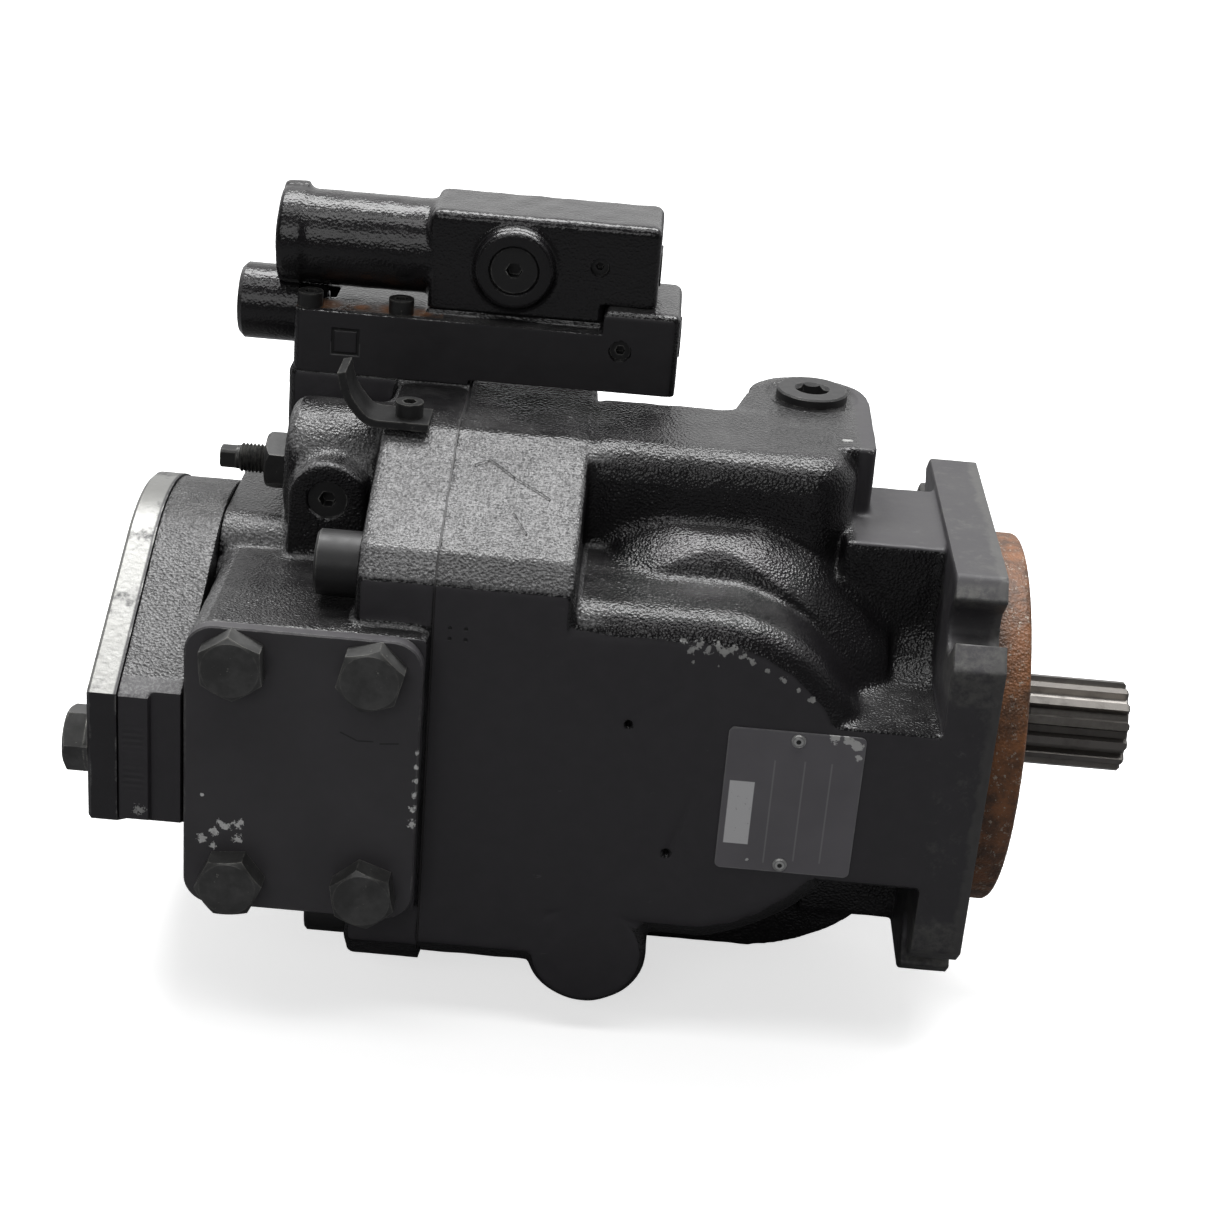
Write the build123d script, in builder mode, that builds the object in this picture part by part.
from build123d import *
import os
from math import sin, cos, pi, radians, sqrt

# Axial piston pump, variable swashplate type, with a control block on the end cap.
# Frame: origin at the centre of the mounting flange face on the shaft axis,
# +X along the shaft towards the splined end, +Z up, +Y to the pressure side.
# All sizes in millimetres. Names ending in _X, _Y or _Z are places, _R radii.

os.makedirs("parts", exist_ok=True)

# ---------------------------------------------------------------- shared dimensions
# housing and its joint to the end cap
JOINT_X = -178.0
GASKET_T = 0.5
CAP_X = JOINT_X - GASKET_T      # front face of the end cap
CAP_FLANGE_T = 24.5
CAP_BACK_X = CAP_X - CAP_FLANGE_T
CAP_TOP = 96.0                  # seat of the control block
SIDE_Y = 75.0                   # flat side faces
RIB_Z = 95.0
CAVITY_R = 62.0
BARREL_R = 66.0
BARREL_X = -150.0               # rear end of the barrel
# rotating group
PISTONS = 9
PITCH_R = 36.8
PIVOT_X = -70.0                 # swashplate pivot, on the shaft axis
CRADLE_R = 38.0
# servo and bias pistons
SERVO_Z = 71.6
SERVO_R = 12.0
LIMITER_HOLE_R = 5.02
BIAS_Z = -64.0
# case drain port
DRAIN_X, DRAIN_Y = -61.0, 46.5
DRAIN_TOP = 94.6                # top of its boss
DRAIN_SEAT = 93.9               # spot face under the plug
# ports on the end cap; bolt offsets are (along X, along Z) from the port centre
PORT_X = -216.5
SUCTION_Y, OUTLET_Y = -82.0, 80.0
SUCTION_BOLTS = (21.45, 38.9)
OUTLET_BOLTS = (13.1, 26.2)
PORT_COVER_T = 4.2
# auxiliary pad
AUX_X0, AUX_X1 = -275.0, -255.0
AUX_R = 58.5
AUX_EAR = 84.0                  # half width over the ears
AUX_BOLTS = [(-73.0, 0), (73.0, 0)]
AUX_SCREW_R = 37
# control block
BASE_Y0, BASE_Y1 = 22.0, 62.0
BASE_MID_Y = (BASE_Y0 + BASE_Y1) / 2
UPPER_Y0 = 28.0                 # -Y face of the upper housing
SPOOL_Y = 44.0
LOWER_SPOOL_Z, UPPER_SPOOL_Z = 112.5, 137.0
LOWER_SPOOL = (SPOOL_Y, LOWER_SPOOL_Z)
UPPER_SPOOL = (SPOOL_Y, UPPER_SPOOL_Z)
CONTROL_PORT = (-166, 136.6)    # x, z
LOWER_GAUGE = (-128.6, 112.5)   # x, z
UPPER_GAUGE = (-137.6, 139.2)   # x, z
SERVO_GAUGE = (-218.7, 70.5)    # x, z

CAP_SCREWS = [(-58, 62), (58, 62), (58, -62), (-58, -62)]               # y, z
CONTROL_SCREWS = [(-234, 27), (-203.3, 27), (-234, 56), (-203.3, 56)]   # x, y
BRACKET_SCREW = (-194.5, -16.5)                                         # x, y
RIVETS = [(-61.4, 22.6), (-62.6, -22.6)]                                # x, z

# outlines of the housing block and the end cap flange: y, z
BLOCK_OUTLINE = [
    (-75, -65), (-75, 65), (-67, 73), (-17, 95), (36, 95), (68, 77),
    (75, 68), (75, -65), (67, -73), (20, -90), (-20, -90), (-67, -73)]
CAP_OUTLINE = [
    (-75, -66), (-75, 65), (-67, 73), (-17, 95), (36, 95), (68, 77),
    (75, 68), (75, -66), (67, -76), (20, -92), (-20, -92), (-66, -77)]
OUTLINE_FILLET = 4.5

# splines: number of teeth, root radius, tip radius
DRIVE_SPLINE = (14, 13.3, 15.6)
BLOCK_SPLINE = (20, 15.5, 16.9)
REAR_SPLINE = (11, 9.1, 11.0)
SPLINE_GAP = 0.05


# ---------------------------------------------------------------- helpers
def at_x(x):
    """Sketch plane at x, drawn in (y, z); extrudes towards +X."""
    return Plane.YZ.offset(x)


def at_y(y):
    """Sketch plane at y, drawn in (x, z); extrudes towards -Y."""
    return Plane.XZ.offset(-y)


def at_z(z):
    """Sketch plane at z, drawn in (x, y); extrudes towards +Z."""
    return Plane.XY.offset(z)


def x_axis(y, z):
    """Axis parallel to X through (y, z)."""
    return Axis((0, y, z), (1, 0, 0))


def discs(radius, *centres, mode=Mode.ADD):
    with Locations(*centres):
        Circle(radius, mode=mode)


def hexagons(flats, *centres):
    """Hexagons given by their width across flats."""
    with Locations(*centres):
        RegularPolygon(flats / sqrt(3), 6)


def port_bolt_discs(radius, offsets, mode=Mode.ADD):
    """Discs at the four bolt places round a port."""
    with Locations((PORT_X, 0)):
        with GridLocations(2 * offsets[0], 2 * offsets[1], 2, 2):
            Circle(radius, mode=mode)


def cut(depth):
    """Remove the pending sketch, extruded by depth."""
    extrude(amount=depth, mode=Mode.SUBTRACT)


def spline_points(teeth, root, tip, grow=0.0):
    """Outline of an external spline with straight sided teeth."""
    points = []
    pitch = 2 * pi / teeth
    for i in range(teeth):
        for part, radius in ((-0.31, root), (-0.19, tip), (0.19, tip), (0.31, root)):
            r = radius + grow
            angle = i * pitch + part * pitch + (grow / r) * (1 if part > 0 else -1)
            points.append((r * cos(angle), r * sin(angle)))
    return points


def aux_outline(grow=0.0):
    """Outline of the two-eared auxiliary flange: y, z."""
    ear, half = AUX_EAR + grow, 22.0 + grow
    y = 27.2 * (AUX_R + grow) / AUX_R
    z = 51.8 * (AUX_R + grow) / AUX_R
    return [(-ear, -half), (-ear, half), (-y, z), (y, z),
            (ear, half), (ear, -half), (y, -z), (-y, -z)]


def sector_edges(outer, inner, start, sweep, centre_x=0):
    """Edges of a ring sector centred on (centre_x, 0); call inside a BuildLine."""
    CenterArc((centre_x, 0), outer, start, sweep)
    CenterArc((centre_x, 0), inner, start, sweep)
    for angle in (radians(start), radians(start + sweep)):
        Line((centre_x + outer * cos(angle), outer * sin(angle)),
             (centre_x + inner * cos(angle), inner * sin(angle)))


def turned(profile, y=0, z=0):
    """Solid turned about x_axis(y, z); the profile lists (x, radius)."""
    with BuildPart() as body:
        with BuildSketch(at_y(y)):
            with BuildLine():
                Polyline(*[(x, z + radius) for x, radius in profile], close=True)
            make_face()
        revolve(axis=x_axis(y, z))
    return body.part


def ball_ended(profile, ball_x, ball_radius, z=0):
    """Rod turned about x_axis(0, z), with a ball at its +X end.

    The profile lists (x, radius) from the axis to the neck of the ball.
    """
    neck = profile[-1][1]
    neck_x = ball_x - sqrt(ball_radius ** 2 - neck ** 2)
    tip_x = ball_x + ball_radius
    with BuildPart() as rod:
        with BuildSketch(Plane.XZ):
            with BuildLine():
                Polyline(*[(x, z + radius) for x, radius in profile], (neck_x, z + neck))
                ThreePointArc((neck_x, z + neck), (ball_x, z + ball_radius), (tip_x, z))
                Line((tip_x, z), (profile[0][0], z))
            make_face()
        revolve(axis=x_axis(0, z))
    return rod.part


def tube(x, outer, inner, length):
    """Plain ring on the shaft axis, from x towards +X."""
    with BuildPart() as ring:
        with BuildSketch(at_x(x)):
            Circle(outer)
            Circle(inner, mode=Mode.SUBTRACT)
        extrude(amount=length)
    return ring.part


def bearing_rollers(x, pitch_radius, count, radius, length,
                    ring_places, ring_outer, ring_inner, ring_t):
    """Rollers on a pitch circle, with a cage ring at each end."""
    with BuildPart() as rollers:
        with BuildSketch(at_x(x)):
            with PolarLocations(pitch_radius, count):
                Circle(radius)
        extrude(amount=length)
        for ring_x in ring_places:
            with BuildSketch(at_x(ring_x)):
                Circle(ring_outer)
                Circle(ring_inner, mode=Mode.SUBTRACT)
            extrude(amount=ring_t)
    return rollers.part


def coil_spring(start, pitch, length, radius, wire_radius):
    """Coil spring that runs from start towards +X."""
    with BuildPart() as spring:
        with BuildLine() as path:
            Helix(pitch=pitch, height=length, radius=radius, center=start,
                  direction=(1, 0, 0))
        with BuildSketch(Plane(origin=path.line @ 0, z_dir=path.line % 0)):
            Circle(wire_radius)
        sweep(is_frenet=True)
    return spring.part


def top_screws(seat_z, centres, head_radius, socket_depth, shank_length):
    """Small socket head screws that point down."""
    head_height = 5
    with BuildPart() as screws:
        with BuildSketch(at_z(seat_z)):
            discs(head_radius, *centres)
        extrude(amount=head_height)
        with BuildSketch(at_z(seat_z + head_height)):
            hexagons(4, *centres)
        cut(-socket_depth)
        with BuildSketch(at_z(seat_z)):
            discs(2.5, *centres)
        extrude(amount=-shank_length)
    return screws.part


def socket_plug(plane, centre, radius, length, flats, socket_depth):
    """Plain plug with a hexagon socket; both run from the same plane."""
    with BuildPart() as plug:
        with BuildSketch(plane):
            discs(radius, centre)
        extrude(amount=length)
        with BuildSketch(plane):
            hexagons(flats, centre)
        cut(socket_depth)
    return plug.part


def hex_bolt(flats, height, rim_radius, crown_radius, bevel,
             shank_radius, shank_length, washer=None):
    """Bolt along Z with a bevelled hexagon head; washer is (radius, thickness)."""
    with BuildPart() as bolt:
        with BuildSketch(Plane.XY):
            hexagons(flats, (0, 0))
        extrude(amount=height)
        with BuildSketch(Plane.XZ):
            with BuildLine():
                Polyline((0, -1), (rim_radius, -1), (rim_radius, height - bevel),
                         (crown_radius, height), (0, height), close=True)
            make_face()
        revolve(axis=Axis.Z, mode=Mode.INTERSECT)
        if washer:
            with BuildSketch(Plane.XY):
                Circle(washer[0])
            extrude(amount=washer[1])
        with BuildSketch(Plane.XY):
            Circle(shank_radius)
        extrude(amount=-shank_length)
    return bolt.part


def bolt_set(plane, bolt, places):
    """Copies of a bolt on a plane; places lists (x, y, turn in degrees)."""
    with BuildPart(plane) as bolts:
        for x, y, turn in places:
            with Locations((x, y)):
                add(bolt, rotation=(0, 0, turn))
    return bolts.part


def port_cover(y, side, width, height, corner, hole_radius, offsets):
    """Cover plate of a port; side is +1 or -1, the way it faces along Y."""
    with BuildPart() as cover:
        with BuildSketch(at_y(y)):
            with Locations((PORT_X, 0)):
                RectangleRounded(width, height, corner)
            port_bolt_discs(hole_radius, offsets, mode=Mode.SUBTRACT)
        extrude(amount=-side * PORT_COVER_T)
        outer_face = cover.faces().sort_by(Axis.Y)[-1 if side > 0 else 0]
        chamfer(outer_face.outer_wire().edges(), length=0.5)
    return cover.part


def save(name, part):
    part.label = name
    export_step(part, f"parts/{name}.step")


# ---------------------------------------------------------------- housing
with BuildPart() as shell:
    with BuildSketch(at_x(JOINT_X)):
        with BuildLine():
            Polyline(*BLOCK_OUTLINE, close=True)
        make_face()
    extrude(amount=43)
    fillet(shell.edges().filter_by(Axis.X), radius=OUTLINE_FILLET)
    fillet(shell.faces().sort_by(Axis.X)[-1].edges(), radius=2.5)
    # barrel with a sloping shoulder
    with BuildSketch(Plane.XZ):
        with BuildLine():
            Polyline((-32, 0), (BARREL_X, 0), (BARREL_X, BARREL_R), (-57, BARREL_R),
                     (-43, 57.5), (-32, 50), (-32, 0))
        make_face()
    revolve(axis=Axis.X)
    # lower rib that holds the bias piston
    with BuildSketch(Plane.XZ):
        with BuildLine():
            Polyline((-22, -40), (BARREL_X, -40), (BARREL_X, -90), (-72, -90))
            ThreePointArc((-72, -90), (-48, -85.4), (-29, -72.6))
            Polyline((-29, -72.6), (-22, -70), (-22, -40))
        make_face()
    extrude(amount=20, both=True)
    # trim to the flat sides
    with BuildSketch(at_x(JOINT_X)):
        Rectangle(2 * SIDE_Y, 260)
    extrude(amount=1 - JOINT_X, mode=Mode.INTERSECT)

# flat side pad on the -Y side; a mirrored copy goes on the +Y side
with BuildPart() as side_pad:
    with BuildSketch(at_y(-SIDE_Y)) as pad_sketch:
        with BuildLine():
            Line((BARREL_X, -57.5), (BARREL_X, 60.5))
            Line((BARREL_X, 60.5), (-86, 60.5))
            ThreePointArc((-86, 60.5), (-58, 48.5), (-42, 26))
            Line((-42, 26), (-42, -26))
            ThreePointArc((-42, -26), (-60, -46), (-86, -57.5))
            Line((-86, -57.5), (BARREL_X, -57.5))
        make_face()
        fillet(pad_sketch.vertices().filter_by(lambda v: -100 < v.X < -30), radius=12)
    extrude(amount=-50)
    pad_rim = side_pad.faces().sort_by(Axis.Y)[0].edges()
    fillet(pad_rim.filter_by(lambda e: e.center().X > -140), radius=11)

# bulge over the swashplate: a rounded box under a barrel shaped surface
BULGE_X = -128
with BuildPart() as bulge:
    with BuildSketch(at_x(BULGE_X)):
        RectangleRounded(89.4, 144, 18)
    extrude(amount=85)
    with BuildSketch(Plane.XZ):
        with BuildLine():
            Polyline((-43, 57.5), (-43, 0), (BULGE_X, 0), (BULGE_X, BARREL_R))
            ThreePointArc((BULGE_X, BARREL_R), (-88, 78.0), (-56, 66.5))
            Line((-56, 66.5), (-43, 57.5))
        make_face()
    revolve(axis=Axis.X, mode=Mode.INTERSECT)

with BuildPart() as top_rib:
    with BuildSketch(at_z(RIB_Z)):
        with Locations((-93.75, 0)):
            Rectangle(93.5, 48)
    extrude(amount=-60)
    front_edges = top_rib.edges().filter_by(Axis.Z).group_by(Axis.X)[-1]
    fillet(front_edges.sort_by(Axis.Y)[0], radius=17)
    fillet(top_rib.faces().sort_by(Axis.Z)[-1].edges().sort_by(Axis.Y)[:-1], radius=11)

# cross shaped neck between the barrel and the flange
NECK_Y = 74.9
with BuildPart() as neck:
    with BuildSketch(at_x(-50)) as neck_sketch:
        with BuildLine():
            Polyline((-26, -70), (26, -70), (26, -28), (NECK_Y, -28), (NECK_Y, 28), (26, 28),
                     (26, 71), (-26, 71), (-26, 28), (-NECK_Y, 28), (-NECK_Y, -28),
                     (-26, -28), close=True)
        make_face()
        inner_corners = [v for v in neck_sketch.vertices()
                         if abs(v.X) < 60 and abs(v.Y) < 40]
        fillet(inner_corners, radius=17)
    extrude(amount=40)

# SAE C four bolt mounting flange with its pilot
FLANGE_Y = 75.0                 # half width
FLANGE_Z = 73.8                 # half height
FLANGE_CUT = 51.0               # where the corner cuts start
FLANGE_T = 16.7
PILOT_R, PILOT_L = 63.5, 12.7
BOLT_PLACE = 57.25              # bolt centres from the axis, both ways
BOLT_R = 7.15
with BuildPart() as flange:
    with BuildSketch(at_x(-FLANGE_T)):
        with BuildLine():
            Polyline((-FLANGE_Y, -FLANGE_CUT), (-FLANGE_Y, FLANGE_CUT),
                     (-FLANGE_CUT, FLANGE_Z), (FLANGE_CUT, FLANGE_Z),
                     (FLANGE_Y, FLANGE_CUT), (FLANGE_Y, -FLANGE_CUT),
                     (FLANGE_CUT, -FLANGE_Z), (-FLANGE_CUT, -FLANGE_Z), close=True)
        make_face()
    extrude(amount=FLANGE_T)
    fillet(flange.edges().filter_by(Axis.X), radius=3.0)
    with BuildSketch(Plane.YZ):
        Circle(PILOT_R)
    extrude(amount=PILOT_L)
    chamfer(flange.faces().sort_by(Axis.X)[-1].edges(), length=1.2)
    # open corner slots round the four bolt positions
    with BuildSketch(at_x(-FLANGE_T - 1)):
        with PolarLocations(BOLT_PLACE * sqrt(2), 4, start_angle=45):
            Circle(BOLT_R)
            with Locations((15, 0)):
                Rectangle(30, 2 * BOLT_R)
    cut(FLANGE_T + 1.05)

# case drain boss: a flat topped pad on the +Y side of the top rib
DRAIN_BOSS_R = 21.2
DRAIN_BOSS_X = DRAIN_X - 1
DRAIN_BOSS_Z = 28               # its underside
with BuildPart() as drain_boss:
    with BuildSketch(at_z(DRAIN_BOSS_Z)):
        discs(DRAIN_BOSS_R, (DRAIN_BOSS_X, DRAIN_Y - 1))
        with Locations((DRAIN_BOSS_X, 21)):
            Rectangle(2 * DRAIN_BOSS_R, 48)
        with BuildLine():
            Polyline((-84, 44), (-88, 27), (-96, 20), (-84, 20), close=True)
        make_face()
    extrude(amount=DRAIN_TOP - DRAIN_BOSS_Z)
    front_edges = drain_boss.edges().filter_by(Axis.Z).group_by(Axis.X)[-1]
    fillet(front_edges.sort_by(Axis.Y)[0], radius=3)

# round lug low on the -Y side
with BuildPart() as side_lug:
    with BuildSketch(at_y(-SIDE_Y)):
        discs(20, (-122.5, -63.3))
    extrude(amount=-50)
    fillet(side_lug.faces().sort_by(Axis.Y)[0].edges(), radius=3)

with BuildPart() as housing:
    add(shell.part)
    add(side_pad.part)
    add(mirror(side_pad.part, about=Plane.XZ))
    for piece in (bulge, top_rib, neck, flange, drain_boss, side_lug):
        add(piece.part)
    # cavity, bearing bore, seal bore
    with BuildSketch(Plane.XZ):
        with BuildLine():
            Polyline((JOINT_X - 1, 0), (JOINT_X - 1, CAVITY_R), (-58, CAVITY_R), (-37, 50),
                     (-37, 31), (-8, 31), (-8, 19), (0.7, 19), (0.7, 26), (20, 26), (20, 0),
                     close=True)
        make_face()
    revolve(axis=Axis.X, mode=Mode.SUBTRACT)
    # servo piston bore and rod slot in the upper rib
    with BuildSketch(at_x(JOINT_X - 1)):
        discs(SERVO_R, (0, SERVO_Z))
    cut(90)
    with BuildSketch(Plane.XZ):
        with Locations((-76.5, 68)):
            Rectangle(47, 32)
    extrude(amount=13, both=True, mode=Mode.SUBTRACT)
    # bias spring bore and arm slot in the lower rib
    with BuildSketch(at_x(-160)):
        discs(12.5, (0, BIAS_Z))
    cut(70)
    with BuildSketch(Plane.XZ):
        with BuildLine():
            Polyline((-105, -50), (-105, -77.5), (-52, -77.5), (-46.5, -72.5), (-41.4, -68),
                     (-36.4, -61.5), (-36.4, -50), close=True)
        make_face()
    extrude(amount=14, both=True, mode=Mode.SUBTRACT)
    # seats of the two cradle bearings
    for seat_y in (-49, 31):
        with BuildSketch(at_y(seat_y)):
            discs(40.0, (PIVOT_X, 0))
        cut(-18)
    # holes for the end cap screws
    with BuildSketch(at_x(JOINT_X - 1)):
        discs(7.0, *CAP_SCREWS)
    cut(23)
    # case drain port: spot face, thread, and a narrower hole to the cavity
    for top, radius, y, depth in ((96, 16.2, DRAIN_Y, 96 - DRAIN_SEAT),
                                  (95, 9.5, DRAIN_Y, 34),
                                  (62, 5.0, DRAIN_Y - 3, 42)):
        with BuildSketch(at_z(top)):
            discs(radius, (DRAIN_X, y))
        cut(-depth)
    # two small dimples and the nameplate rivet holes
    with BuildSketch(at_y(-SIDE_Y)):
        discs(1.3, (-115.2, 22.8), (-99.5, -22.7))
        discs(1.25, *RIVETS)
    cut(-5)
save("housing", housing.part)

# ---------------------------------------------------------------- end cap
with BuildPart() as cap_flange:
    with BuildSketch(at_x(CAP_BACK_X)):
        with BuildLine():
            Polyline(*CAP_OUTLINE, close=True)
        make_face()
    extrude(amount=CAP_FLANGE_T)
    fillet(cap_flange.edges().filter_by(Axis.X), radius=OUTLINE_FILLET)
    fillet(cap_flange.faces().sort_by(Axis.X)[0].edges(), radius=2.5)

SUCTION_WIDTH = 74
with BuildPart() as suction_boss:
    with BuildSketch(at_y(SUCTION_Y)):
        with Locations((PORT_X, 0)):
            RectangleRounded(SUCTION_WIDTH, 99, 9)
        # front half, with nearly square corners
        with Locations((PORT_X + SUCTION_WIDTH / 4, 0)):
            RectangleRounded(SUCTION_WIDTH / 2, 99, 2)
    extrude(amount=-58)

with BuildPart() as outlet_boss:
    with BuildSketch(at_y(OUTLET_Y)):
        with Locations((PORT_X, 0)):
            RectangleRounded(58, 80, 8)
    extrude(amount=58)

GAUGE_BOSS_R = 13
with BuildPart() as gauge_boss:
    with BuildSketch(at_y(-29)):
        discs(GAUGE_BOSS_R, SERVO_GAUGE)
        with Locations((SERVO_GAUGE[0], 52)):
            Rectangle(2 * GAUGE_BOSS_R, 37)
    extrude(amount=-32)
    fillet(gauge_boss.faces().sort_by(Axis.Y)[0].edges(), radius=2)

with BuildPart() as servo_boss:
    with BuildSketch(at_x(-235)):
        discs(22.5, (0, SERVO_Z))
    extrude(amount=40)
    fillet(servo_boss.faces().sort_by(Axis.X)[0].edges(), radius=5)

COLUMN_X = -240.5               # rear face of the column under the control block
with BuildPart() as control_column:
    with BuildSketch(at_z(CAP_TOP)):
        with Locations(((COLUMN_X + CAP_X) / 2, BASE_MID_Y)):
            Rectangle(CAP_X - COLUMN_X, BASE_Y1 - BASE_Y0)
    extrude(amount=-70)
    fillet(control_column.edges().filter_by(Axis.Z).sort_by(Axis.X)[:2], radius=4)

with BuildPart() as end_cap:
    add(cap_flange.part)
    # body round the rear bearing and the through drive
    with BuildSketch(at_x(AUX_X1)):
        Circle(51)
        with Locations((14, 22)):
            RectangleRounded(76, 70, 14)
    extrude(amount=60)
    for piece in (suction_boss, outlet_boss, servo_boss, gauge_boss, control_column):
        add(piece.part)
    # web that ties the servo boss to the body
    with BuildSketch(at_x(-229)):
        with Locations((4, 50)):
            Rectangle(34, 44)
    extrude(amount=30)
    # bearing bore, shaft hole, coupling chamber
    with BuildSketch(Plane.XZ):
        with BuildLine():
            Polyline((CAP_X + 1, 0), (CAP_X + 1, 25), (-196.5, 25), (-196.5, 17), (-206, 17),
                     (-206, 20), (-256, 20), (-256, 0), close=True)
        make_face()
    revolve(axis=Axis.X, mode=Mode.SUBTRACT)
    # kidney passages from the valve plate
    with BuildSketch(at_x(CAP_X + 1)):
        for middle in (0, 180):
            with BuildLine():
                sector_edges(40, 28.5, middle - 62, 124)
            make_face()
    cut(-39)
    # port bores
    for y, radius, depth in ((SUCTION_Y - 1, 25.4, -50), (OUTLET_Y + 1, 12.7, 48)):
        with BuildSketch(at_y(y)):
            discs(radius, (PORT_X, 0))
        cut(depth)
    # bolt holes of the port covers
    for y, radius, offsets, depth in ((SUCTION_Y - 1, 6.0, SUCTION_BOLTS, -25),
                                      (OUTLET_Y + 1, 5.0, OUTLET_BOLTS, 21)):
        with BuildSketch(at_y(y)):
            port_bolt_discs(radius, offsets)
        cut(depth)
    # servo chamber and limiter screw hole, then end cap screw holes and spot faces
    for x, radius, centres, depth in ((CAP_X + 1, SERVO_R, [(0, SERVO_Z)], -13),
                                      (-240, LIMITER_HOLE_R, [(0, SERVO_Z)], 60),
                                      (CAP_X + 1, 7.5, CAP_SCREWS, -40),
                                      (CAP_BACK_X, 11.5, CAP_SCREWS, -17)):
        with BuildSketch(at_x(x)):
            discs(radius, *centres)
        cut(depth)
    # servo gauge port
    with BuildSketch(at_y(-30)):
        discs(6.5, SERVO_GAUGE)
    cut(-13)
    # holes for the control screws and the bracket screw
    for z, centres, depth in ((CAP_TOP + 1, CONTROL_SCREWS, 19),
                              (RIB_Z + 1, [BRACKET_SCREW], 9)):
        with BuildSketch(at_z(z)):
            discs(2.5, *centres)
        cut(-depth)
    # screws of the auxiliary adapter
    with BuildSketch(at_x(AUX_X1 - 1)):
        with PolarLocations(AUX_SCREW_R, 4, start_angle=45):
            Circle(4.0)
    cut(16)
save("end_cap", end_cap.part)

with BuildPart() as end_cap_gasket:
    with BuildSketch(at_x(CAP_X)) as gasket_sketch:
        with BuildLine():
            Polyline(*BLOCK_OUTLINE, close=True)
        make_face()
        fillet(gasket_sketch.vertices(), radius=OUTLINE_FILLET)
        Circle(CAVITY_R, mode=Mode.SUBTRACT)
        discs(7.5, *CAP_SCREWS, mode=Mode.SUBTRACT)
        discs(SERVO_R + 0.3, (0, SERVO_Z), mode=Mode.SUBTRACT)
    extrude(amount=GASKET_T)
save("end_cap_gasket", end_cap_gasket.part)

CAP_SCREW_HEAD = 14
with BuildPart() as end_cap_screws:
    with BuildSketch(at_x(CAP_BACK_X)):
        discs(10.5, *CAP_SCREWS)
    extrude(amount=-CAP_SCREW_HEAD)
    head_faces = end_cap_screws.faces().filter_by(Axis.X).sort_by(Axis.X)[:4]
    chamfer(head_faces.edges(), length=0.8)
    with BuildSketch(at_x(CAP_BACK_X - CAP_SCREW_HEAD)):
        hexagons(12, *CAP_SCREWS)
    cut(8)
    with BuildSketch(at_x(CAP_BACK_X)):
        discs(7.0, *CAP_SCREWS)
    extrude(amount=44)
save("end_cap_screws", end_cap_screws.part)

# ---------------------------------------------------------------- shaft and bearings
# steps of the shaft from the drive end to the rear: x, radius
SHAFT_PROFILE = [
    (12.9, 0), (12.9, 16.4), (12.2, 17.45), (-25.2, 17.45), (-25.2, 19), (-29, 19),
    (-29, 17), (-112, 17), (-112, 15.4), (-166, 15.4), (-168, 14.5), (-180.5, 14.5),
    (-180.5, 13.0), (-196, 13.0), (-197, 11.5), (-206, 11.5), (-206, 9.0), (-226, 9.0),
    (-226, 0)]
SHAFT_END_X = 55.6
DRIVE_SPLINE_X = 12.8
with BuildPart() as drive_shaft:
    with BuildSketch(Plane.XZ):
        with BuildLine():
            Polyline(*SHAFT_PROFILE, close=True)
        make_face()
    revolve(axis=Axis.X)
    # drive spline
    with BuildSketch(at_x(DRIVE_SPLINE_X)):
        with BuildLine():
            Polyline(*spline_points(*DRIVE_SPLINE), close=True)
        make_face()
    extrude(amount=SHAFT_END_X - DRIVE_SPLINE_X)
    chamfer(drive_shaft.faces().sort_by(Axis.X)[-1].edges(), length=0.7)
    # run-out at the root of the drive spline
    with BuildSketch(Plane.XZ):
        with BuildLine():
            Polyline((12.5, 0), (12.5, 15.6), (15.5, 14.8), (22, 13.3), (22, 0), close=True)
        make_face()
    revolve(axis=Axis.X)
    # splines for the cylinder block and, at the rear, the auxiliary coupling
    for spline_x, spline, length in ((-160, BLOCK_SPLINE, 48), (-226, REAR_SPLINE, 20)):
        with BuildSketch(at_x(spline_x)):
            with BuildLine():
                Polyline(*spline_points(*spline), close=True)
            make_face()
        extrude(amount=length)
save("drive_shaft", drive_shaft.part)

save("front_bearing_inner", tube(x=-25, outer=21, inner=17.45, length=16))
save("front_bearing_outer", tube(x=-25, outer=31, inner=27, length=16.5))
save("front_bearing_rollers", bearing_rollers(
    x=-23, pitch_radius=24, count=14, radius=2.96, length=12,
    ring_places=(-24.8, -10.6), ring_outer=26, ring_inner=22, ring_t=1.4))
save("rear_bearing_inner", tube(x=-195, outer=16.5, inner=13.0, length=14))
save("rear_bearing_outer", tube(x=-196, outer=25, inner=21.5, length=15))
save("rear_bearing_rollers", bearing_rollers(
    x=-193, pitch_radius=19, count=13, radius=2.46, length=10,
    ring_places=(-194.8, -182.8), ring_outer=20.8, ring_inner=17.3, ring_t=1.6))

# lip seal: x, radius
save("shaft_seal", turned([
    (1.5, 26), (9.5, 26), (9.5, 20), (8.5, 17.52), (7.8, 17.52), (6, 22), (3, 22),
    (3, 18.4), (1.5, 18.4)]))

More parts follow.
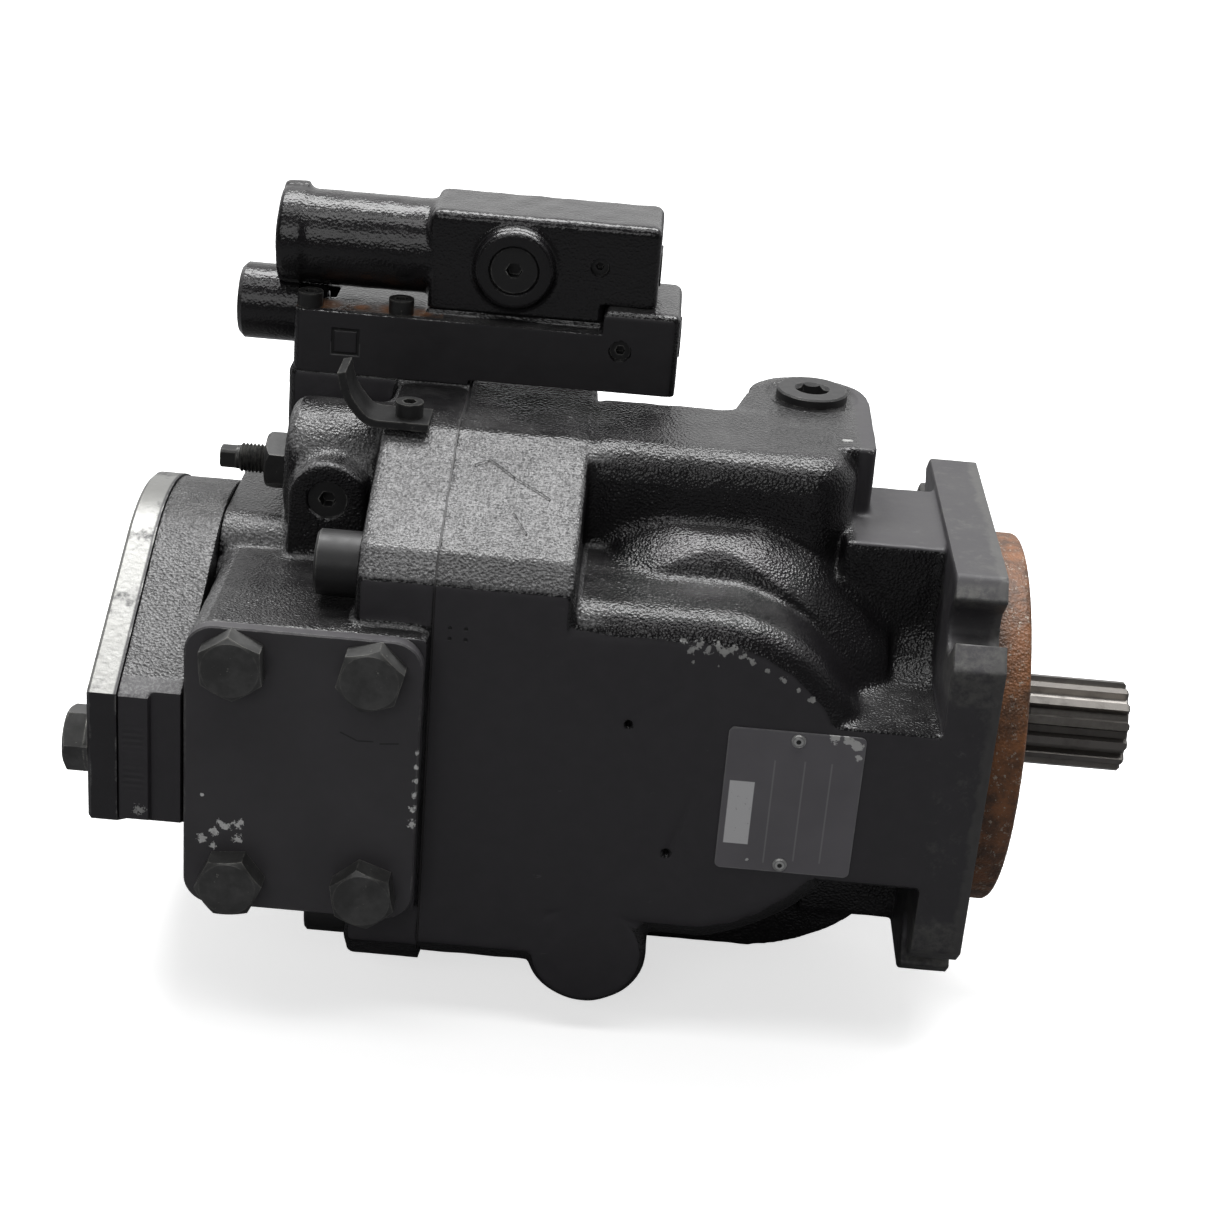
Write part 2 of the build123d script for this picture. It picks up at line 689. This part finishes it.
# ---------------------------------------------------------------- rotating group
BLOCK_R = 52.4
BLOCK_X0, BLOCK_X1 = -172.4, -113.0
with BuildPart() as cylinder_block:
    with BuildSketch(at_x(BLOCK_X0)):
        Circle(BLOCK_R)
        with BuildLine():
            Polyline(*spline_points(*BLOCK_SPLINE, SPLINE_GAP), close=True)
        make_face(mode=Mode.SUBTRACT)
    extrude(amount=BLOCK_X1 - BLOCK_X0)
    circles = cylinder_block.edges().filter_by(GeomType.CIRCLE)
    chamfer(circles.filter_by(lambda e: abs(e.radius - BLOCK_R) < 0.1), length=1.5)
    # recess for the ball guide and block spring
    with BuildSketch(at_x(BLOCK_X1)):
        Circle(23.4)
    cut(-27)
    # piston bores, first one at the top
    with BuildSketch(at_x(BLOCK_X1)):
        with PolarLocations(PITCH_R, PISTONS, start_angle=90):
            Circle(10.82)
    cut(-53)
    # slot from each bore to the rear face
    with BuildSketch(at_x(BLOCK_X0)):
        with PolarLocations(34.3, PISTONS, start_angle=90):
            SlotOverall(17, 9, rotation=90)
    cut(10)
    # relief round the spline in the running face
    with BuildSketch(at_x(BLOCK_X0)):
        Circle(27)
        with BuildLine():
            Polyline(*spline_points(*BLOCK_SPLINE, SPLINE_GAP), close=True)
        make_face(mode=Mode.SUBTRACT)
    cut(2)
save("cylinder_block", cylinder_block.part)

with BuildPart() as valve_plate:
    with BuildSketch(at_x(CAP_X)):
        Circle(50)
        Circle(26, mode=Mode.SUBTRACT)
        for middle in (0, 180):
            with BuildLine():
                sector_edges(38.5, 30, middle - 60, 120)
            make_face(mode=Mode.SUBTRACT)
    extrude(amount=6.0)
save("valve_plate", valve_plate.part)

# one hollow piston, on the shaft axis
PISTON_R = 10.80
PISTON_X = -153
with BuildPart() as piston:
    add(ball_ended([(PISTON_X, 0), (PISTON_X, PISTON_R - 0.6), (PISTON_X + 0.6, PISTON_R),
                    (-88.5, PISTON_R), (-82, 5.0)], ball_x=PIVOT_X, ball_radius=7.5))
    with BuildSketch(at_x(PISTON_X)):
        Circle(7)
    cut(50)

# one slipper, on the shaft axis
SOLE_X = PIVOT_X + 8.95
SOCKET_R = 7.53
with BuildPart() as slipper:
    add(turned([(SOLE_X, 0), (SOLE_X, 11.5), (SOLE_X - 0.3, 11.7), (PIVOT_X + 5.6, 11.7),
                (PIVOT_X + 5.6, 8.8), (PIVOT_X - 2.5, 8.8), (PIVOT_X - 2.5, 0)]))
    with BuildSketch(Plane.XZ):
        with BuildLine():
            ThreePointArc((PIVOT_X - SOCKET_R, 0), (PIVOT_X, SOCKET_R),
                          (PIVOT_X + SOCKET_R, 0))
            Line((PIVOT_X + SOCKET_R, 0), (PIVOT_X - SOCKET_R, 0))
        make_face()
    revolve(axis=Axis.X, mode=Mode.SUBTRACT)

# pistons and slippers are grouped by their angle in degrees from the top
ANGLE_SETS = {"_top": [0], "s_40": [40, -40], "s_80": [80, -80],
              "s_120": [120, -120], "s_160": [160, -160]}
for kind, body in (("piston", piston), ("slipper", slipper)):
    for suffix, angles in ANGLE_SETS.items():
        with BuildPart() as group:
            for angle in angles:
                y, z = PITCH_R * sin(radians(angle)), PITCH_R * cos(radians(angle))
                with Locations(Location((0, y, z))):
                    add(body.part)
        save(kind + suffix, group.part)

SEAT_R = 23.1                   # spherical seat of the retainer on the ball guide
with BuildPart() as retainer_plate:
    with BuildSketch(at_x(PIVOT_X + 2.3)):
        Circle(50.6)
        with PolarLocations(37.6, PISTONS, start_angle=90):
            Circle(10.1, mode=Mode.SUBTRACT)
    extrude(amount=3.0)
    with BuildSketch(Plane.XZ):
        with BuildLine():
            ThreePointArc((PIVOT_X - SEAT_R, 0), (PIVOT_X, SEAT_R), (PIVOT_X + SEAT_R, 0))
            Line((PIVOT_X + SEAT_R, 0), (PIVOT_X - SEAT_R, 0))
        make_face()
    revolve(axis=Axis.X, mode=Mode.SUBTRACT)
save("retainer_plate", retainer_plate.part)

GUIDE_R = 23
GUIDE_FRONT, GUIDE_BACK = 9, 11.4       # ends of the sphere, from the pivot
guide_front = (PIVOT_X + GUIDE_FRONT, sqrt(GUIDE_R ** 2 - GUIDE_FRONT ** 2))
guide_back = (PIVOT_X - GUIDE_BACK, sqrt(GUIDE_R ** 2 - GUIDE_BACK ** 2))
with BuildPart() as ball_guide:
    with BuildSketch(Plane.XZ):
        with BuildLine():
            Polyline((PIVOT_X + GUIDE_FRONT, 0), guide_front)
            ThreePointArc(guide_front, (PIVOT_X, GUIDE_R), guide_back)
            Polyline(guide_back, (-118, 20), (-118, 0), (PIVOT_X + GUIDE_FRONT, 0))
        make_face()
    revolve(axis=Axis.X)
    with BuildSketch(at_x(-119)):
        Circle(17.05)
    cut(70)
save("ball_guide", ball_guide.part)

save("block_spring", coil_spring(
    start=(-137.8, 0, 0), pitch=5.0, length=17.0, radius=20.4, wire_radius=1.7))

# ---------------------------------------------------------------- swashplate
with BuildPart() as swashplate:
    with BuildSketch(at_x(PIVOT_X + 9.1)):
        Circle(52.0)
    extrude(amount=10)
    chamfer(swashplate.faces().sort_by(Axis.X)[-1].edges(), length=3)
    # half cylinder runners on both sides
    with BuildSketch(Plane.XZ):
        discs(CRADLE_R, (PIVOT_X, 0))
        with Locations((PIVOT_X - 20.9, 0)):
            Rectangle(60, 90, mode=Mode.SUBTRACT)
        for z in (46, -46):
            with Locations((PIVOT_X + 20, z)):
                Rectangle(60, 36, mode=Mode.SUBTRACT)
    extrude(amount=47.5, both=True)
    # gap between the runners
    with BuildSketch(Plane.XZ):
        with Locations((PIVOT_X + 19.1 + 15, 0)):
            Rectangle(30, 90)
    extrude(amount=32, both=True, mode=Mode.SUBTRACT)
    # shaft hole
    with BuildSketch(at_x(PIVOT_X + 5)):
        Circle(24.9)
    cut(40)
    # arm to the servo piston at the top, arm to the bias piston at the bottom
    for x, z, thickness, height, half_width in ((12.05, 63, 5.9, 33, 10),
                                                (11.05, -58, 3.9, 20, 9)):
        with BuildSketch(Plane.XZ):
            with Locations((PIVOT_X + x, z)):
                Rectangle(thickness, height)
        extrude(amount=half_width, both=True)
save("swashplate", swashplate.part)

with BuildPart() as cradle_bearings:
    for y in (-48.5, 31.5):
        with BuildSketch(at_y(y)):
            with BuildLine():
                sector_edges(39.98, CRADLE_R + 0.05, -32, 64, centre_x=PIVOT_X)
            make_face()
        extrude(amount=-17)
save("cradle_bearings", cradle_bearings.part)

# ---------------------------------------------------------------- servo, bias and limiter
SERVO_PISTON_R = 11.97
save("servo_piston", ball_ended([
    (-150, 0), (-150, 11.4), (-149.4, SERVO_PISTON_R), (-137, SERVO_PISTON_R),
    (-137, 10.8), (-134, 10.8), (-134, SERVO_PISTON_R), (-104, SERVO_PISTON_R),
    (-103, 11), (-103, 6.5)], ball_x=-69.3, ball_radius=8, z=SERVO_Z))

save("bias_piston", ball_ended([
    (-124, 0), (-124, 5), (-93, 5), (-93, 10.5), (-89, 10.5), (-88, 5)],
    ball_x=-68.3, ball_radius=7, z=BIAS_Z))

save("bias_spring", coil_spring(
    start=(-158.0, 0, BIAS_Z), pitch=7.0, length=62.6, radius=8.6, wire_radius=1.6))

# limiter screw; only its outer end shows thread grooves
THREAD_X, THREAD_PITCH, THREAD_TURNS = -237.0, 1.25, 12
limiter_profile = [(-176, 0), (-176, 3.8), (-177, 4.9), (-236, 4.9)]
for k in range(THREAD_TURNS):
    x = THREAD_X - k * THREAD_PITCH
    limiter_profile += [(x, 4.2), (x - 0.62, 4.95)]
limiter_profile += [(-252.2, 4.0), (-258.2, 4.0), (-258.6, 3.6), (-258.6, 0)]
with BuildPart() as limiter_screw:
    add(turned(limiter_profile, z=SERVO_Z))
    # driving flats on the outer end
    with BuildSketch(at_x(-258.7)):
        with Locations((0, SERVO_Z)):
            Circle(4.5)
            Rectangle(6.4, 6.4, mode=Mode.SUBTRACT)
    cut(5.5)
save("limiter_screw", limiter_screw.part)

with BuildPart() as limiter_lock_nut:
    with BuildSketch(at_x(-243)):
        with Locations((0, SERVO_Z)):
            RegularPolygon(17.5 / sqrt(3), 6, rotation=30)
            Circle(LIMITER_HOLE_R, mode=Mode.SUBTRACT)
    extrude(amount=8)
    # bevel of the outer corners
    with BuildSketch(Plane.XZ):
        with BuildLine():
            Polyline((-243.2, SERVO_Z), (-243.2, SERVO_Z + 8.4), (-240.5, SERVO_Z + 10.6),
                     (-234.8, SERVO_Z + 10.6), (-234.8, SERVO_Z), close=True)
        make_face()
    revolve(axis=x_axis(0, SERVO_Z), mode=Mode.INTERSECT)
save("limiter_lock_nut", limiter_lock_nut.part)

# ---------------------------------------------------------------- control block
BASE_H = 22                     # height of the rear part of the base
BASE_GAP = 1.8                  # clearance of the overhanging part over the housing
BASE_DEPTH = BASE_Y1 - BASE_Y0
with BuildPart() as control_base:
    with BuildSketch(at_z(CAP_TOP)):
        with Locations((-174, BASE_MID_Y)):
            Rectangle(130, BASE_DEPTH)
    extrude(amount=BASE_H)
    fillet(control_base.edges().filter_by(Axis.Z).sort_by(Axis.X)[:2], radius=3)
    # taller front end
    with BuildSketch(at_z(CAP_TOP + BASE_GAP)):
        with Locations((-122, BASE_MID_Y)):
            Rectangle(26, BASE_DEPTH)
    extrude(amount=28.4)
    fillet(control_base.edges().filter_by(Axis.Z).sort_by(Axis.X)[-2:], radius=3)
    # raised seat of the upper housing
    with BuildSketch(at_z(CAP_TOP + 20)):
        with Locations((-165, SPOOL_Y + 1)):
            Rectangle(60, 34)
    extrude(amount=4)
    # the overhanging part stands clear of the housing below it
    with BuildSketch(at_z(CAP_TOP)):
        with Locations((-143, SPOOL_Y)):
            Rectangle(72, 60)
    cut(BASE_GAP)
    fillet(control_base.faces().sort_by(Axis.Z)[-1].edges(), radius=2.5)
    # spring chamber, spool bore, end plug hole
    for x, radius, depth in ((-240, 8.0, 13), (-240, 4.0, 128), (-116, 7.0, 10)):
        with BuildSketch(at_x(x)):
            discs(radius, LOWER_SPOOL)
        cut(depth)
    # screw holes to the end cap
    with BuildSketch(at_z(CAP_TOP - 1)):
        discs(2.8, *CONTROL_SCREWS)
    cut(30)
    # plain square mark, engraved
    with BuildSketch(at_y(BASE_Y0)):
        with Locations((-221.2, 107.6)):
            Rectangle(8.8, 8.8)
            Rectangle(7.4, 7.4, mode=Mode.SUBTRACT)
    cut(-0.5)
    # gauge port
    with BuildSketch(at_y(BASE_Y0 - 0.5)):
        discs(3.6, LOWER_GAUGE)
    cut(-10)
save("control_base", control_base.part)

SPRING_BARREL_X = -246.5
with BuildPart() as control_housing:
    # main block, and a front block over the taller end of the base: x, base z, length, height
    for x, z, length, height in ((-165, 24, 60, 34), (-126.3, 30.2, 17.4, 27.8)):
        with BuildSketch(at_z(CAP_TOP + z)):
            with Locations((x, SPOOL_Y)):
                Rectangle(length, 32)
        extrude(amount=height)
    fillet(control_housing.edges().filter_by(Axis.Z), radius=2.5)
    fillet(control_housing.faces().sort_by(Axis.Z)[-1].edges(), radius=3)
    # barrel that holds the load sensing spring
    with BuildSketch(at_x(SPRING_BARREL_X)):
        discs(16, UPPER_SPOOL)
    extrude(amount=60)
    # collar on its end, with a small lobe
    with BuildSketch(at_x(SPRING_BARREL_X)):
        discs(17, UPPER_SPOOL)
        discs(5, (SPOOL_Y + 3, UPPER_SPOOL_Z + 13))
    extrude(amount=8.5)
    fillet(control_housing.faces().sort_by(Axis.X)[0].edges(), radius=1.8)
    # raised boss round the port plug
    with BuildSketch(at_y(UPPER_Y0 - 4)):
        discs(13.6, CONTROL_PORT)
    extrude(amount=-8)
    fillet(control_housing.faces().sort_by(Axis.Y)[0].edges(), radius=2)
    # room for the spring cap below, then spring chamber, spool bore, end plug hole
    for x, radius, centre, depth in ((-248, 13.2, LOWER_SPOOL, 10),
                                     (-247, 10.0, UPPER_SPOOL, 52),
                                     (-200, 5.0, UPPER_SPOOL, 78),
                                     (-126, 7.0, UPPER_SPOOL, 10)):
        with BuildSketch(at_x(x)):
            discs(radius, centre)
        cut(depth)
    # plug hole and gauge port in the -Y face
    for y, radius, centre, depth in ((UPPER_Y0 - 5, 8.4, CONTROL_PORT, 11),
                                     (UPPER_Y0 - 0.5, 3.1, UPPER_GAUGE, 8)):
        with BuildSketch(at_y(y)):
            discs(radius, centre)
        cut(-depth)
save("control_housing", control_housing.part)

# only the two screws on the -Y side are fitted
save("control_screws", top_screws(
    seat_z=CAP_TOP + BASE_H, centres=CONTROL_SCREWS[:2], head_radius=4.25,
    socket_depth=2.6, shank_length=38))

# spools: x, radius
PC_LAND, PC_WAIST = 3.97, 2.4
save("pc_spool", turned([
    (-224, 0), (-224, PC_LAND), (-200, PC_LAND), (-200, PC_WAIST), (-188, PC_WAIST),
    (-188, PC_LAND), (-160, PC_LAND), (-160, PC_WAIST), (-146, PC_WAIST),
    (-146, PC_LAND), (-121, PC_LAND), (-121, 0)], *LOWER_SPOOL))

LS_LAND, LS_WAIST = 4.97, 3
save("ls_spool", turned([
    (-197, 0), (-197, LS_LAND), (-184, LS_LAND), (-184, LS_WAIST), (-174, LS_WAIST),
    (-174, LS_LAND), (-158, LS_LAND), (-158, LS_WAIST), (-148, LS_WAIST),
    (-148, LS_LAND), (-131, LS_LAND), (-131, 0)], *UPPER_SPOOL))

with BuildPart() as pc_spring_cap:
    add(turned([(-260, 0), (-260, 11.3), (-258.3, 13), (-239.2, 13), (-239.2, 7.95),
                (-230, 7.95), (-230, 6.6), (-253, 6.6), (-253, 0)], *LOWER_SPOOL))
    with BuildSketch(at_x(-260)):
        hexagons(8, LOWER_SPOOL)
    cut(4)
save("pc_spring_cap", pc_spring_cap.part)

save("ls_spring_plug", socket_plug(
    at_x(-247.5), UPPER_SPOOL, radius=9.95, length=9, flats=8, socket_depth=5))

save("pc_spring", coil_spring(
    start=(-250.6, *LOWER_SPOOL), pitch=4.0, length=21.0, radius=4.6, wire_radius=0.9))
save("ls_spring", coil_spring(
    start=(-236.6, *UPPER_SPOOL), pitch=5.0, length=34.0, radius=6.2, wire_radius=1.2))

with BuildPart() as spool_end_plugs:
    for centre, outer_x, length in ((LOWER_SPOOL, -108.4, 6.1), (UPPER_SPOOL, -117, 6)):
        add(socket_plug(at_x(outer_x), centre, radius=6.95, length=-length,
                        flats=5, socket_depth=-3))
save("spool_end_plugs", spool_end_plugs.part)

PORT_PLUG_Y = 24.8
with BuildPart() as control_port_plug:
    with BuildSketch(at_y(PORT_PLUG_Y)):
        discs(8.35, CONTROL_PORT)
    extrude(amount=-7.5)
    chamfer(control_port_plug.faces().sort_by(Axis.Y)[0].edges(), length=0.6)
    with BuildSketch(at_y(PORT_PLUG_Y)):
        hexagons(4.8, CONTROL_PORT)
    cut(-4)
save("control_port_plug", control_port_plug.part)

with BuildPart() as gauge_plugs:
    # centre, outer y, radius, length, socket width across flats
    for centre, y, radius, length, flats in ((SERVO_GAUGE, -27.6, 6.45, 9, 5),
                                             (LOWER_GAUGE, 24.0, 3.55, 6, 2.9),
                                             (UPPER_GAUGE, 30.0, 3.05, 5, 2.5)):
        add(socket_plug(at_y(y), centre, radius, -length, flats, -length * 0.55))
save("gauge_plugs", gauge_plugs.part)

# ---------------------------------------------------------------- port covers
M12_HEAD = dict(flats=19, rim_radius=11.2, crown_radius=9.0, bevel=1.3, shank_radius=6.0)
bolt_m12 = hex_bolt(**M12_HEAD, height=7.8, shank_length=26)
bolt_m12_flanged = hex_bolt(**M12_HEAD, height=8.6, shank_length=22, washer=(10.6, 1.4))
bolt_m10 = hex_bolt(flats=16, height=6.4, rim_radius=9.4, crown_radius=7.6, bevel=1.1,
                    shank_radius=5.0, shank_length=22)


def port_bolt_places(offsets, turns):
    """Places of four cover bolts with their turns, upper pair first."""
    corners = ((-1, 1), (1, 1), (-1, -1), (1, -1))
    return [(PORT_X + i * offsets[0], k * offsets[1], turn)
            for (i, k), turn in zip(corners, turns)]


save("suction_cover", port_cover(
    SUCTION_Y, side=-1, width=SUCTION_WIDTH, height=99.5, corner=9.5,
    hole_radius=6.6, offsets=SUCTION_BOLTS))
save("suction_cover_bolts", bolt_set(
    at_y(SUCTION_Y - PORT_COVER_T), bolt_m12,
    port_bolt_places(SUCTION_BOLTS, turns=(34, 15.5, 6, 40))))

save("outlet_cover", port_cover(
    OUTLET_Y, side=1, width=54, height=76, corner=8, hole_radius=5.5,
    offsets=OUTLET_BOLTS))
save("outlet_cover_bolts", bolt_set(
    Plane(origin=(0, OUTLET_Y + PORT_COVER_T, 0), x_dir=(1, 0, 0), z_dir=(0, 1, 0)),
    bolt_m10,
    # this plane faces +Y, so its own y axis points to -Z
    port_bolt_places(OUTLET_BOLTS, turns=(10, 28, 50, 5))))

# ---------------------------------------------------------------- auxiliary drive pad
RECESS_X = -265                 # floor of the recess in the adapter
with BuildPart() as aux_adapter:
    with BuildSketch(at_x(AUX_X0)):
        with BuildLine():
            Polyline(*aux_outline(), close=True)
        make_face()
        Circle(AUX_R)
    extrude(amount=AUX_X1 - AUX_X0)
    # relieved band across each ear, and a row of fine grooves behind it
    for side in (-1, 1):
        with BuildSketch(at_z(-26)):
            with Locations((-260, side * (AUX_EAR + 3))):
                Rectangle(9.6, 10)
        cut(52)
        for k in range(12):
            with BuildSketch(at_y(side * (AUX_EAR - 0.6))):
                with Locations((-270, -11 + 2 * k)):
                    Rectangle(7.4, 0.9)
            cut(-2 * side)
    # recess and through hole
    with BuildSketch(Plane.XZ):
        with BuildLine():
            Polyline((-276, 0), (-276, 50.8), (RECESS_X, 50.8), (RECESS_X, 26), (-254, 26),
                     (-254, 0), close=True)
        make_face()
    revolve(axis=Axis.X, mode=Mode.SUBTRACT)
    with BuildSketch(at_x(AUX_X0 - 1)):
        discs(6.0, *AUX_BOLTS)
    cut(15)
    with BuildSketch(at_x(AUX_X0)):
        with PolarLocations(AUX_SCREW_R, 4, start_angle=45):
            Circle(4.5)
    cut(22)
save("aux_adapter", aux_adapter.part)

AUX_HEAD = 6                    # height of the screw heads
with BuildPart() as aux_adapter_screws:
    with BuildSketch(at_x(RECESS_X)):
        with PolarLocations(AUX_SCREW_R, 4, start_angle=45):
            Circle(6.5)
    extrude(amount=-AUX_HEAD)
    with BuildSketch(at_x(RECESS_X - AUX_HEAD)):
        with PolarLocations(AUX_SCREW_R, 4, start_angle=45):
            RegularPolygon(6 / sqrt(3), 6)
    cut(3.5)
    with BuildSketch(at_x(RECESS_X)):
        with PolarLocations(AUX_SCREW_R, 4, start_angle=45):
            Circle(4.0)
    extrude(amount=24)
save("aux_adapter_screws", aux_adapter_screws.part)

COVER_X = -284.5                # outer face of the cover
COVER_GROW = 0.6                # overhang of the cover round the adapter
with BuildPart() as aux_cover:
    with BuildSketch(at_x(COVER_X)):
        with BuildLine():
            Polyline(*aux_outline(COVER_GROW), close=True)
        make_face()
        Circle(AUX_R + COVER_GROW)
    extrude(amount=AUX_X0 - COVER_X)
    chamfer(aux_cover.faces().sort_by(Axis.X)[0].outer_wire().edges(), length=1.2)
    # spigot
    with BuildSketch(at_x(AUX_X0)):
        Circle(50.7)
        Circle(44, mode=Mode.SUBTRACT)
    extrude(amount=3.6)
    with BuildSketch(at_x(COVER_X - 1)):
        discs(6.6, *AUX_BOLTS)
    cut(12)
save("aux_cover", aux_cover.part)

save("aux_cover_bolts", bolt_set(
    Plane(origin=(COVER_X, 0, 0), x_dir=(0, 1, 0), z_dir=(-1, 0, 0)), bolt_m12_flanged,
    [(*place, turn) for place, turn in zip(AUX_BOLTS, (12, 30))]))

with BuildPart() as aux_coupling:
    with BuildSketch(at_x(-250)):
        Circle(17.5)
        with BuildLine():
            Polyline(*spline_points(*REAR_SPLINE, SPLINE_GAP), close=True)
        make_face(mode=Mode.SUBTRACT)
    extrude(amount=42)
save("aux_coupling", aux_coupling.part)

# ---------------------------------------------------------------- plug, bracket, nameplate
# case drain plug: radius, height above the spot face
DRAIN_PLUG_PROFILE = [
    (0, -14), (9.45, -14), (9.45, 0), (12.4, 0), (12.4, 2.7), (11.8, 3.3), (6.2, 3.3),
    (5.1, 2.2), (0, 2.2)]
with BuildPart() as case_drain_plug:
    with BuildSketch(at_y(DRAIN_Y)):
        with BuildLine():
            Polyline(*[(DRAIN_X + radius, DRAIN_SEAT + z) for radius, z in DRAIN_PLUG_PROFILE],
                     close=True)
        make_face()
    revolve(axis=Axis((DRAIN_X, DRAIN_Y, 0), (0, 0, 1)))
    with BuildSketch(at_z(DRAIN_SEAT + 3)):
        hexagons(10, (DRAIN_X, DRAIN_Y))
    cut(-9)
save("case_drain_plug", case_drain_plug.part)

# bracket: a flat foot that curves up into a tongue at the rear
FOOT_X0, FOOT_X1 = -203, -187.5
FOOT_TOP = 97.6
with BuildPart() as line_bracket:
    with BuildSketch(at_y(-8.5)):
        with BuildLine():
            Polyline((FOOT_X1, RIB_Z), (FOOT_X0, RIB_Z))
            Spline((FOOT_X0, RIB_Z), (-210.9, 98.4), (-215.3, 104.8), (-217.4, 112.4),
                   tangents=((-1, 0), (-0.2, 1)))
            Line((-217.4, 112.4), (-214.7, 113.0))
            Spline((-214.7, 113.0), (-212.9, 106.0), (-209.3, 100.6), (FOOT_X0, FOOT_TOP),
                   tangents=((0.2, -1), (1, 0)))
            Polyline((FOOT_X0, FOOT_TOP), (FOOT_X1, FOOT_TOP), (FOOT_X1, RIB_Z))
        make_face()
    extrude(amount=15)
    with BuildSketch(at_z(RIB_Z - 1)):
        discs(2.8, BRACKET_SCREW)
    cut(5)
save("line_bracket", line_bracket.part)

save("bracket_screw", top_screws(
    seat_z=FOOT_TOP, centres=[BRACKET_SCREW], head_radius=4.5, socket_depth=2.8,
    shank_length=10))

PLATE_T = 0.6
with BuildPart() as nameplate:
    with BuildSketch(at_y(-SIDE_Y)):
        with Locations((-61.8, 0)):
            RectangleRounded(43.4, 51, 2)
        discs(1.3, *RIVETS, mode=Mode.SUBTRACT)
    extrude(amount=PLATE_T)
save("nameplate", nameplate.part)

with BuildPart() as nameplate_rivets:
    with BuildSketch(at_y(-SIDE_Y + 4)):
        discs(1.2, *RIVETS)
    extrude(amount=4 + PLATE_T)
    with BuildSketch(at_y(-SIDE_Y - PLATE_T)):
        discs(2.3, *RIVETS)
    extrude(amount=0.9)
    head_faces = nameplate_rivets.faces().filter_by(Axis.Y).sort_by(Axis.Y)[:2]
    chamfer(head_faces.edges(), length=0.4)
save("nameplate_rivets", nameplate_rivets.part)
